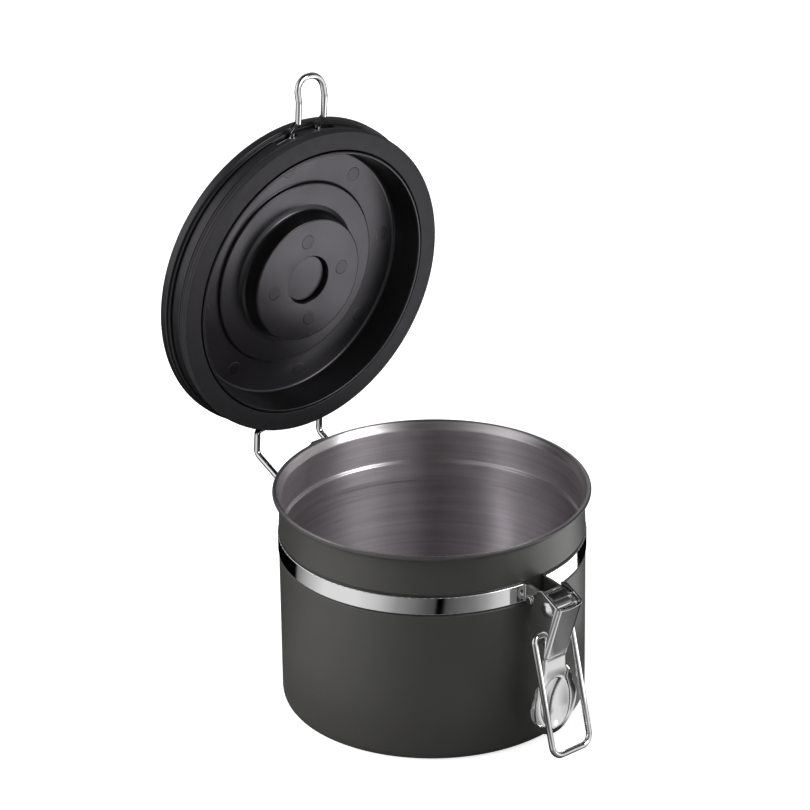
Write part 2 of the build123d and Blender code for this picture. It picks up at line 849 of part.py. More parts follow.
def build():
    """Make every piece, write it and print the places that the record needs."""
    os.makedirs("parts", exist_ok=True)
    for name, make in fixed_pieces.items():
        write_piece(make(), name)
    for name, make in lid_pieces.items():
        write_piece(open_pose() * make(), name)
    print("lid hinge", [round(v, 3) for v in hinge_place], "opens", open_angle)
    print("lever pivot", [round(v, 3) for v in lever_pivot])
    print("bail pivot", [round(v, 3) for v in bail_pivot()])
    print("lid centre closed", round(lid_height, 3))


build()
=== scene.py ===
"""Looks for a coffee canister with a valved, hinged lid and a lever latch, laid out as an add-on.

Metres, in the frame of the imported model: +Z up, the latch at -Y, the hinge at +Y. The lid's own
pieces are drawn closed, about the lid's axis, and are then turned into the open rest pose.
"""

import json
import math

import bmesh
import bpy
from mathutils import Matrix, Vector


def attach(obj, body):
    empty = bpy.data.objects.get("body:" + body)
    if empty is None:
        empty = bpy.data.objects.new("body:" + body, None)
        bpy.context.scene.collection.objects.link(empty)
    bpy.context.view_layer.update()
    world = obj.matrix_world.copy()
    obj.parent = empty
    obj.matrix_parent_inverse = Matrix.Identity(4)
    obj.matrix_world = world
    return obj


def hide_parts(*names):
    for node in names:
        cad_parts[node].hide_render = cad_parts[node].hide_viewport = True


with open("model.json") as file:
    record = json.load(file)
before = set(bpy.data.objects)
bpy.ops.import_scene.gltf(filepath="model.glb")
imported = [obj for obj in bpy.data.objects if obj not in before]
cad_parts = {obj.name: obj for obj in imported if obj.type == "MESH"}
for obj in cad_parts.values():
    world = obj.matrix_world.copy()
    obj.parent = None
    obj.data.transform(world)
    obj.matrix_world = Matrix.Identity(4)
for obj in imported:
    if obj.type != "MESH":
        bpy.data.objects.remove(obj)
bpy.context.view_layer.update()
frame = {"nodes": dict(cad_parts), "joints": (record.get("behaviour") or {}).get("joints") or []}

bl_info = {
    "name": "Coffee canister looks",
    "version": (1, 0, 0),
    "blender": (4, 5, 0),
    "location": "View3D > Sidebar > Canister",
    "description": "Dresses the packed coffee canister and sets its stage",
    "category": "Object",
}

MM = 0.001
LID_HINGE = next(joint for joint in frame["joints"] if joint["name"] == "lid_hinge")

# How meshes are made
FULL_TURN = 2 * math.pi
ROUND_STEPS = 256
CORNER_STEPS = 6
MARK_STEPS = 48
RIVET_STEPS = 64
TINY = 1e-7
STRAIGHT = math.pi - 0.01  # a wider turn than this is no corner
LONGEST_CUT = 0.49  # how much of its shorter run a rounded corner may take
# Angles that stay sharp, in degrees
MADE_EDGE, PACKED_EDGE, SHEET_EDGE, RIVET_EDGE = 32.0, 38.0, 50.0, 40.0


def length(name, description, millimetres):
    """A length property whose default is given in millimetres."""
    return bpy.props.FloatProperty(
        name=name, description=description, default=millimetres * MM, unit="LENGTH", precision=5
    )


def colour(name, description, value):
    """A colour property."""
    return bpy.props.FloatVectorProperty(
        name=name, description=description, default=value, subtype="COLOR", size=3, min=0, max=1
    )


def angle(name, description, degrees):
    """An angle property whose default is given in degrees."""
    return bpy.props.FloatProperty(
        name=name, description=description, default=math.radians(degrees), subtype="ANGLE"
    )


class CanisterSizes(bpy.types.PropertyGroup):
    """Sizes of the canister's body."""

    radius: length("Radius", "Outside radius of the body", 62.5)
    height: length("Height", "Height of the lip above the base", 92.7)
    wall: length("Wall", "Thickness of the sheet", 0.8)
    corner: length("Base corner", "Radius between the wall and the base", 4.2)
    neck: length("Neck", "Outside radius just under the lip", 61.9)
    lip: length("Lip", "Outside radius of the lip", 64.7)
    bead: length("Lip bead", "Radius of the rolled edge", 1.05)
    flare: length("Lip flare", "Height of the flare under the lip", 3.4)
    groove_low: length("Groove foot", "Height of the band groove's lower edge", 66.0)
    groove_high: length("Groove head", "Height of the band groove's upper edge", 74.4)
    groove_depth: length("Groove depth", "Depth of the band groove", 1.0)
    groove_slope: length("Groove slope", "Height over which the groove's sides slope", 0.7)
    groove_edge: length("Groove edge", "Outside radius of the groove's edges", 0.8)
    groove_root: length("Groove root", "Outside radius of the groove's corners", 0.5)
    inside_edge: length("Inside edge", "Inside radius of the groove's edges", 0.9)
    inside_root: length("Inside root", "Inside radius of the groove's corners", 0.8)
    flare_bend: length("Flare bend", "Radius where the flare begins", 2.0)
    bead_root: length("Bead root", "Radius where the lip's bead begins", 0.4)


class LidSizes(bpy.types.PropertyGroup):
    """Sizes of the lid, whose depths run down from the cover's widest circle."""

    closed_height: length("Closed height", "Height of the widest circle when closed", 107.4)
    cover: length("Cover", "Radius of the cover", 67.4)
    cover_top: length("Cover top", "Height of the cover's top", 4.6)
    cover_edge_top: length("Edge top", "Height where the cover's edge begins", 2.4)
    cover_edge_depth: length("Edge depth", "Depth of the cover's edge", 3.0)
    skirt_inset: length("Skirt inset", "How far the cover's skirt stands in from its edge", 1.2)
    skirt_depth: length("Skirt depth", "Depth of the cover's skirt", 4.0)
    cover_edge_round: length("Edge round", "Radius of the cover's edge", 1.8)
    cover_plate: length("Cover plate", "Thickness of the cover", 2.2)
    neck: length("Neck", "Radius of the wire's groove", 61.8)
    neck_wall: length("Neck wall", "Thickness of the cover's neck", 1.8)
    panel: length("Panel", "Radius of the sunk panel on top", 52.0)
    panel_sink: length("Panel sink", "Depth of the sunk panel", 0.7)
    flange_depth: length("Flange depth", "Depth of the liner's flange", 7.0)
    flange_thickness: length("Flange thickness", "Thickness of the liner's flange", 2.0)
    flange: length("Flange", "Radius of the liner's flange", 65.3)
    flange_lip: length("Flange lip", "Thickness of the flange's raised lip", 0.7)
    flange_lip_depth: length("Flange lip depth", "Depth of the top of that lip", 4.4)
    front_notch: length("Front notch", "Where the lip's gaps for the loop end", 14.94)
    back_notch: length("Back notch", "Where the lip's gaps for the legs end", 23.42)
    front_tab: length("Front tab", "Half width of the lip between the loop's feet", 4.8)
    back_tab: length("Back tab", "Half width of the lip between the legs", 15.0)
    floor_depth: length("Floor depth", "Depth of the liner's floor", 1.4)
    floor: length("Floor", "Radius of the liner's floor", 54.0)
    mouth: length("Mouth", "Inside radius of the liner's rim", 56.4)
    rim: length("Rim", "Outside radius of the liner's rim", 57.6)
    rim_depth: length("Rim depth", "Depth of the liner's rim", 14.9)
    liner_wall: length("Liner wall", "Thickness of the liner", 1.9)
    wide_boss: length("Wide boss", "Radius of the wide boss", 39.6)
    wide_boss_depth: length("Wide boss depth", "Depth of the wide boss", 3.0)
    boss: length("Boss", "Radius of the middle boss", 26.9)
    boss_depth: length("Boss depth", "Depth of the middle boss", 11.1)
    boss_cove: length("Boss cove", "Width of the cove at the foot of the middle boss", 3.2)
    boss_cove_height: length("Boss cove height", "Height of that cove", 2.0)
    boss_draft: length("Boss draft", "Slope of the boss's wall", 0.6)
    valve_hole: length("Valve hole", "Radius of the hole for the valve", 10.45)
    gasket_in: length("Gasket inside", "Inside radius of the gasket", 58.1)
    gasket: length("Gasket", "Outside radius of the gasket", 65.0)
    gasket_face: length("Gasket face", "Depth of the gasket's face", 14.4)
    gasket_flare: length("Gasket flare", "How much wider the gasket is at its face", 1.1)
    gasket_rib: length("Gasket rib", "Height of the gasket's ribs", 0.6)
    cap: length("Cap seat", "Radius of the seat for the valve's cap", 13.6)
    cap_depth: length("Cap depth", "Depth of that seat below the cover's top", 1.6)
    vent: length("Vent", "Radius of the hole under the cap", 9.0)
    mark: length("Moulding mark", "Radius of the moulding marks", 3.4)
    mark_step: length("Mark step", "How far a mark stands from its face", 0.16)
    mark_ring: length("Marks on the boss", "Radius of the circle of marks on the boss", 17.6)
    mark_circle: length("Marks on the floor", "Radius of the circle of marks on the floor", 47.2)
    mark_ring_turn: angle("Boss marks' turn", "How far the boss's marks are turned round", 3.0)
    mark_circle_turn: angle("Floor marks' turn", "How far the floor's marks are turned round", 5.0)
    tube_wall: length("Tube wall", "Thickness of the tube round the valve's hole", 1.75)
    tube_top: length("Tube top", "Height of that tube's upper end", 2.0)
    snap_top: length("Snap ring top", "Height of the liner's snap ring", 1.0)
    snap_play: length("Snap play", "Gap between the snap ring and the cover", 0.1)
    first_rib: length("First rib", "Height of the first rib above the gasket's face", 1.7)
    rib_pitch: length("Rib pitch", "Distance between the gasket's ribs", 2.3)


class LeverSizes(bpy.types.PropertyGroup):
    """Sizes of the latch lever."""

    pivot_y: length("Pivot Y", "The rivet's place in front of the can", -77.2)
    pivot_z: length("Pivot Z", "The rivet's height", 68.2)
    tilt: angle("Tilt", "Lean of the channel", 18.65)
    sheet: length("Sheet", "Thickness of the sheet", 0.8)
    sheet_edge: length("Sheet edge", "Width of the sheet's broken edge", 0.16)
    half_width: length("Half width", "Half the channel's width", 6.7)
    front: length("Front", "How far the front wall stands out from the pivot", 5.77)
    fold: length("Fold", "Outer radius of the channel's folds", 2.0)
    length: length("Length", "Length of the front wall below the pivot", 22.4)
    top_dip: length("Top dip", "How far the front wall's top edge dips", 1.3)
    pad_y: length("Pad Y", "Front of the pad's rim", -75.1)
    pad_z: length("Pad Z", "Height of the pad's middle", 23.6)
    pad_half_width: length("Pad half width", "Half the pad's width", 12.3)
    pad_half_height: length("Pad half height", "Half the pad's height", 14.4)
    dish_half_width: length("Dish half width", "Half the dish's width", 8.2)
    dish_half_height: length("Dish half height", "Half the dish's height", 11.6)
    dish_depth: length("Dish depth", "Depth of the dish", 2.2)
    rim_roll: length("Rim roll", "How far the pad's rim rolls back", 1.3)
    neck_y: length("Neck Y", "Front of the neck where it leaves the channel", -75.5)
    neck_step: length("Neck step", "How far the neck steps in under the channel's front wall", 0.45)
    pad_lean: length("Pad lean", "How much further out the pad's lower end stands", 0.2)
    rivet: length("Rivet", "Radius of the rivet's pin", 2.0)
    rivet_head: length("Rivet head", "Radius of the rivet's heads", 3.2)
    rivet_rise: length("Rivet rise", "How far a head stands off the side wall", 0.9)
    rivet_rim: length("Rivet rim", "Thickness of a head at its rim", 0.25)


class FinishColours(bpy.types.PropertyGroup):
    """Colours of the finishes."""

    coat: colour("Coat", "Dark satin coat on the outside", (0.044, 0.043, 0.040))
    steel: colour("Bare steel", "Brushed steel inside", (0.74, 0.71, 0.73))
    bright: colour("Bright steel", "Polished band, latch and wires", (0.86, 0.86, 0.86))
    plastic: colour("Lid plastic", "Black moulded plastic", (0.0065, 0.0063, 0.0066))
    rubber: colour("Gasket", "Black silicone", (0.0132, 0.0128, 0.0135))
    sheen: colour("Sheen", "Tint of what plastic and gasket mirror", (0.96, 0.91, 1.0))
    felt: colour("Felt", "Filter felt", (0.75, 0.74, 0.70))
    floor: colour("Floor", "Pale studio floor", (0.86, 0.86, 0.86))


class StageSettings(bpy.types.PropertyGroup):
    """Camera and studio settings."""

    focal: length("Focal length", "Focal length on a 36 mm sensor", 177.78)
    roll: angle("Roll", "Roll of the camera", -0.776)
    place: bpy.props.FloatVectorProperty(
        name="Camera place", description="Where the camera stands", subtype="XYZ", size=3,
        unit="LENGTH", default=(-0.94548, -1.11055, 0.79990),
    )
    aim: bpy.props.FloatVectorProperty(
        name="Aim", description="The point that the camera looks at", subtype="XYZ", size=3,
        unit="LENGTH", default=(0.01223, 0.03068, 0.11435),
    )


# Materials

def cleared(owner):
    """The emptied node tree of a material or a world."""
    owner.use_nodes = True
    owner.node_tree.nodes.clear()
    return owner.node_tree


def new_material(name):
    """A material with one shader, and its tree."""
    material = bpy.data.materials.new(name)
    tree = cleared(material)
    output = tree.nodes.new("ShaderNodeOutputMaterial")
    shader = tree.nodes.new("ShaderNodeBsdfPrincipled")
    tree.links.new(shader.outputs["BSDF"], output.inputs["Surface"])
    return material, tree, shader


def node(tree, kind, **settings):
    """A node with its attributes and inputs set by name."""
    made = tree.nodes.new("ShaderNode" + kind)
    for key, value in settings.items():
        if hasattr(made, key):
            setattr(made, key, value)
        else:
            made.inputs[key.replace("_", " ")].default_value = value
    return made


def link(tree, source, target):
    """Link two sockets."""
    tree.links.new(source, target)


def noise(tree, coordinates, scale, detail=3.0, roughness=0.5):
    """A noise texture on some coordinates."""
    made = node(tree, "TexNoise", Scale=scale, Detail=detail, Roughness=roughness)
    link(tree, coordinates, made.inputs["Vector"])
    return made


def ramp(tree, source, stops):
    """A value ramp given as (place, value) stops."""
    made = tree.nodes.new("ShaderNodeMapRange")
    (low, low_value), (high, high_value) = stops
    made.inputs["From Min"].default_value = low
    made.inputs["From Max"].default_value = high
    made.inputs["To Min"].default_value = low_value
    made.inputs["To Max"].default_value = high_value
    link(tree, source, made.inputs["Value"])
    return made.outputs["Result"]


def tint(tree, shader, base, source, darkest, lightest):
    """Vary a base colour's brightness by a value."""
    mix = node(tree, "Mix", data_type="RGBA")
    colours = [s for s in mix.inputs if s.type == "RGBA"]
    colours[0].default_value = (*[c * darkest for c in base], 1)
    colours[1].default_value = (*[min(1.0, c * lightest) for c in base], 1)
    link(tree, source, mix.inputs[0])
    result = next(s for s in mix.outputs if s.type == "RGBA")
    link(tree, result, shader.inputs["Base Color"])


def vary(tree, shader, socket, source, stops):
    """Vary one of the shader's values with a source, between two (place, value) stops."""
    link(tree, ramp(tree, source, stops), shader.inputs[socket])


def bump(tree, shader, height, strength, distance):
    """Bump from a height value."""
    made = node(tree, "Bump", Strength=strength, Distance=distance)
    link(tree, height, made.inputs["Height"])
    link(tree, made.outputs["Normal"], shader.inputs["Normal"])


def object_place(tree):
    """Object coordinates."""
    return tree.nodes.new("ShaderNodeTexCoord").outputs["Object"]


def turn_about_axis(tree, split):
    """The angle about Z of split coordinates."""
    turn = node(tree, "Math", operation="ARCTAN2")
    link(tree, split.outputs["Y"], turn.inputs[0])
    link(tree, split.outputs["X"], turn.inputs[1])
    return turn.outputs[0]


def around_axis(tree, stretch, fine):
    """Coordinates that run slowly round the Z axis and fast along the radius and the height."""
    split = node(tree, "SeparateXYZ")
    link(tree, object_place(tree), split.inputs[0])
    flat = node(tree, "CombineXYZ")
    link(tree, split.outputs["X"], flat.inputs["X"])
    link(tree, split.outputs["Y"], flat.inputs["Y"])
    radius = node(tree, "VectorMath", operation="LENGTH")
    link(tree, flat.outputs[0], radius.inputs[0])
    joined = node(tree, "CombineXYZ")
    for source, target, factor in (
        (turn_about_axis(tree, split), "X", stretch),
        (radius.outputs["Value"], "Y", fine),
        (split.outputs["Z"], "Z", fine),
    ):
        scaled = node(tree, "Math", operation="MULTIPLY")
        scaled.inputs[1].default_value = factor
        link(tree, source, scaled.inputs[0])
        link(tree, scaled.outputs[0], joined.inputs[target])
    return joined.outputs[0]


def coat_material(colours):
    """Dark satin coat with a fine orange peel."""
    material, tree, shader = new_material("satin_coat")
    place = object_place(tree)
    peel = noise(tree, place, scale=2600.0, detail=2.0).outputs["Fac"]
    cloud = noise(tree, place, scale=38.0).outputs["Fac"]
    tint(tree, shader, colours.coat, cloud, darkest=0.93, lightest=1.07)
    vary(tree, shader, "Roughness", cloud, ((0.3, 0.42), (0.7, 0.48)))
    bump(tree, shader, peel, strength=0.18, distance=0.00005)
    shader.inputs["Specular IOR Level"].default_value = 0.55
    return material


def steel_material(colours):
    """Bare steel, brushed round the axis."""
    material, tree, shader = new_material("brushed_steel")
    fine, wide = around_axis(tree, 2.2, 5200.0), around_axis(tree, 0.7, 420.0)
    strokes = noise(tree, fine, scale=1.0, detail=4.0, roughness=0.7).outputs["Fac"]
    bands = noise(tree, wide, scale=1.0, roughness=0.6).outputs["Fac"]
    mixed = node(tree, "Math", operation="MULTIPLY_ADD")
    mixed.inputs[1].default_value = 0.5
    link(tree, strokes, mixed.inputs[0])
    link(tree, bands, mixed.inputs[2])
    streaks = ramp(tree, mixed.outputs[0], ((0.5, 0.0), (1.0, 1.0)))
    tint(tree, shader, colours.steel, streaks, darkest=0.82, lightest=1.12)
    vary(tree, shader, "Roughness", strokes, ((0.3, 0.26), (0.7, 0.42)))
    bump(tree, shader, strokes, strength=0.25, distance=0.00002)
    shader.inputs["Metallic"].default_value = 1.0
    shader.inputs["Anisotropic"].default_value = 0.8
    shader.inputs["Anisotropic Rotation"].default_value = 0.25
    grain = node(tree, "Tangent", direction_type="RADIAL", axis="Z")
    link(tree, grain.outputs[0], shader.inputs["Tangent"])
    return material


def bright_material(colours):
    """Polished steel with faint hairlines and smears."""
    material, tree, shader = new_material("polished_steel")
    place = object_place(tree)
    smear = noise(tree, place, scale=160.0, detail=4.0, roughness=0.6).outputs["Fac"]
    hair = noise(tree, place, scale=3200.0, detail=2.0).outputs["Fac"]
    tint(tree, shader, colours.bright, smear, darkest=0.96, lightest=1.03)
    vary(tree, shader, "Roughness", smear, ((0.3, 0.05), (0.75, 0.12)))
    bump(tree, shader, hair, strength=0.05, distance=0.00002)
    shader.inputs["Metallic"].default_value = 1.0
    return material


def plastic_material(colours, name="black_plastic", gloss=0.65):
    """Black satin moulded plastic."""
    material, tree, shader = new_material(name)
    place = object_place(tree)
    grain = noise(tree, place, scale=4200.0, detail=2.0).outputs["Fac"]
    cloud = noise(tree, place, scale=55.0).outputs["Fac"]
    tint(tree, shader, colours.plastic, cloud, darkest=0.85, lightest=1.15)
    vary(tree, shader, "Roughness", cloud, ((0.3, 0.27), (0.7, 0.35)))
    bump(tree, shader, grain, strength=0.12, distance=0.00004)
    shader.inputs["Specular IOR Level"].default_value = gloss
    shader.inputs["Specular Tint"].default_value = (*colours.sheen, 1.0)
    return material


def mark_material(colours):
    """The same plastic where the mould's pins left it duller."""
    return plastic_material(colours, "pin_plastic", gloss=0.55)


def rubber_material(colours):
    """Matte silicone with a dusty surface."""
    material, tree, shader = new_material("black_silicone")
    place = object_place(tree)
    grain = noise(tree, place, scale=3000.0).outputs["Fac"]
    dust = noise(tree, place, scale=240.0, detail=5.0, roughness=0.7).outputs["Fac"]
    tint(tree, shader, colours.rubber, dust, darkest=0.8, lightest=1.3)
    vary(tree, shader, "Roughness", dust, ((0.3, 0.5), (0.7, 0.62)))
    bump(tree, shader, grain, strength=0.25, distance=0.00006)
    shader.inputs["Specular Tint"].default_value = (*colours.sheen, 1.0)
    return material


def felt_material(colours):
    """Pale felt."""
    material, tree, shader = new_material("pale_felt")
    place = object_place(tree)
    fibres = noise(tree, place, scale=2500.0, detail=6.0, roughness=0.8).outputs["Fac"]
    tint(tree, shader, colours.felt, fibres, darkest=0.8, lightest=1.1)
    bump(tree, shader, fibres, strength=0.8, distance=0.0003)
    shader.inputs["Roughness"].default_value = 0.95
    return material


MATERIAL_MAKERS = {
    "satin_coat": coat_material,
    "brushed_steel": steel_material,
    "polished_steel": bright_material,
    "black_plastic": plastic_material,
    "pin_plastic": mark_material,
    "black_silicone": rubber_material,
    "pale_felt": felt_material,
}


def finish(context, name):
    """The named material, made at its first use."""
    return bpy.data.materials.get(name) or MATERIAL_MAKERS[name](context.scene.finish_colours)


# Mesh helpers

def rounded(points):
    """An outline whose corners are rounded: each point is (radius, height, corner radius)."""
    outline = []
    last = len(points) - 1
    for number, (r, z, corner) in enumerate(points):
        here = Vector((r, z))
        if number in (0, last) or corner <= 0:
            outline.append(here)
            continue
        before = Vector(points[number - 1][:2]) - here
        after = Vector(points[number + 1][:2]) - here
        turn = before.angle(after)
        if turn > STRAIGHT:
            outline.append(here)
            continue
        shorter = min(before.length, after.length)
        reach = min(corner / math.tan(turn / 2), shorter * LONGEST_CUT)
        start, end = here + before.normalized() * reach, here + after.normalized() * reach
        for step in range(CORNER_STEPS + 1):
            t = step / CORNER_STEPS
            outline.append(start * (1 - t) ** 2 + here * 2 * t * (1 - t) + end * t**2)
    return outline


def distinct(verts):
    """The vertices in order, each of them once."""
    return list(dict.fromkeys(verts))


def add_turned(build, outline, segments=ROUND_STEPS, split=None, arc=(0.0, FULL_TURN), move=None):
    """Add an outline turned about Z; faces past the split point get the second material."""
    start, end = arc
    whole = end - start > FULL_TURN - TINY
    turns = [start + (end - start) * n / segments for n in range(segments + (not whole))]
    move = move or Matrix.Identity(4)
    rings = []
    for r, z in outline:
        places = [(0, 0, z)] if r < TINY else [(r * math.cos(t), r * math.sin(t), z) for t in turns]
        rings.append([build.verts.new(move @ Vector(place)) for place in places])
    for number, (low, high) in enumerate(zip(rings, rings[1:])):
        for n in range(segments):
            m = (n + 1) % len(turns)
            face = build.faces.new(distinct(
                ring_verts[place % len(ring_verts)]
                for ring_verts, place in ((low, n), (low, m), (high, m), (high, n))
            ))
            face.material_index = int(split is not None and number >= split)
    if not whole:
        for end_ring in (0, -1):
            build.faces.new([ring_verts[end_ring] for ring_verts in rings[:-1]])


def placed_mesh(name, build):
    """Turn a built mesh into an object in the scene."""
    mesh = bpy.data.meshes.new(name)
    build.to_mesh(mesh)
    build.free()
    made = bpy.data.objects.new(name, mesh)
    bpy.context.scene.collection.objects.link(made)
    return made


def finish_mesh(name, build, degrees=MADE_EDGE):
    """Turn a built mesh into an object with smooth faces and sharp edges."""
    bmesh.ops.remove_doubles(build, verts=build.verts, dist=TINY)
    bmesh.ops.recalc_face_normals(build, faces=build.faces)
    made = placed_mesh(name, build)
    smooth_by_angle(made, degrees)
    return made


def lathe(name, outline, split=None):
    """One outline turned about Z."""
    build = bmesh.new()
    add_turned(build, outline, split=split)
    return finish_mesh(name, build)


def smooth_by_angle(made, degrees):
    """Smooth shading with sharp edges kept."""
    mesh = made.data
    mesh.polygons.foreach_set("use_smooth", [True] * len(mesh.polygons))
    mesh.set_sharp_from_angle(angle=math.radians(degrees))


def closed(outline):
    """An outline that ends where it began."""
    return [*outline, outline[0]]


def lid_pose(sizes):
    """The move from the lid's closed drawing to its open rest pose."""
    pivot = Vector(LID_HINGE["pos_m"])
    opened = math.radians(LID_HINGE["range_deg"][1])
    lift = Matrix.Translation(Vector((0, 0, sizes.closed_height)) - pivot)
    return Matrix.Translation(pivot) @ Matrix.Rotation(-opened, 4, "X") @ lift


def dress(context, made, node_name, finishes, body, pose=None):
    """Place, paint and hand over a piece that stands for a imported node."""
    for name in finishes:
        made.data.materials.append(finish(context, name))
    if pose is not None:
        made.matrix_world = pose
    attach(made, body)
    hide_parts(node_name)


def paint_node(context, name, finish_name):
    """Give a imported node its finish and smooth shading."""
    made = frame["nodes"][name]
    made.data.materials.clear()
    made.data.materials.append(finish(context, finish_name))
    smooth_by_angle(made, PACKED_EDGE)
    even = made.modifiers.new("even_normals", "WEIGHTED_NORMAL")
    even.keep_sharp = True


# Operators

# The lip's bead, in degrees round its middle, and how many of its radii lower its root lies
BEAD_START, BEAD_SWEEP, BEAD_STEPS = -70, 250, 14
BEAD_ROOT_DROP = 0.6


class CANISTER_OT_body(bpy.types.Operator):
    """Make the coated body with its brushed inside"""

    bl_idname = "canister.body"
    bl_label = "Canister body"

    def execute(self, context):
        s = context.scene.canister_sizes
        middle, level = s.lip - s.bead, s.height - s.bead
        outer = rounded(self.outside(s, middle, level))[:-1]
        bead = []
        for n in range(BEAD_STEPS + 1):
            t = math.radians(BEAD_START + BEAD_SWEEP * n / BEAD_STEPS)
            bead.append(Vector((middle + s.bead * math.cos(t), level + s.bead * math.sin(t))))
        outline = outer + bead + rounded(self.inside(s, middle, level))[1:]
        made = lathe("canister_body_shell", outline, split=len(outer) + len(bead) // 2)
        finishes = ("satin_coat", "brushed_steel")
        dress(context, made, "canister_body", finishes, "canister")
        return {"FINISHED"}

    def outside(self, s, middle, level):
        """The coated outside, from the base's middle up to the bead."""
        deep = s.radius - s.groove_depth
        return [
            (0, 0, 0), (s.radius, 0, s.corner),
            (s.radius, s.groove_low - s.groove_slope, s.groove_edge),
            (deep, s.groove_low, s.groove_root), (deep, s.groove_high, s.groove_root),
            (s.radius, s.groove_high + s.groove_slope, s.groove_edge),
            (s.neck, s.height - s.flare, s.flare_bend),
            (middle, level - s.bead * BEAD_ROOT_DROP, s.bead_root),
        ]

    def inside(self, s, middle, level):
        """The bare inside, from the bead down to the base's middle."""
        wall = s.wall
        deep = s.radius - s.groove_depth - wall
        return [
            (middle - s.bead, level, 0), (s.neck - wall, s.height - s.flare, s.flare_bend),
            (s.radius - wall, s.groove_high + s.groove_slope, s.inside_edge),
            (deep, s.groove_high, s.inside_root), (deep, s.groove_low, s.inside_root),
            (s.radius - wall, s.groove_low - s.groove_slope, s.inside_edge),
            (s.radius - wall, wall, s.corner - wall), (0, wall, 0),
        ]


# A moulding mark's edge, inward and up from its face, in steps of the mark
MARK_EDGE = ((0.0, 1.0), (0.6, 0.4), (3.4, -0.5), (4.6, -0.5))
LIP_ROOT = 0.3 * MM  # how far the flange's lip is let into the flange
COVE_MIDDLE = (0.45, 0.35)  # the share of the boss's cove out and up to its middle


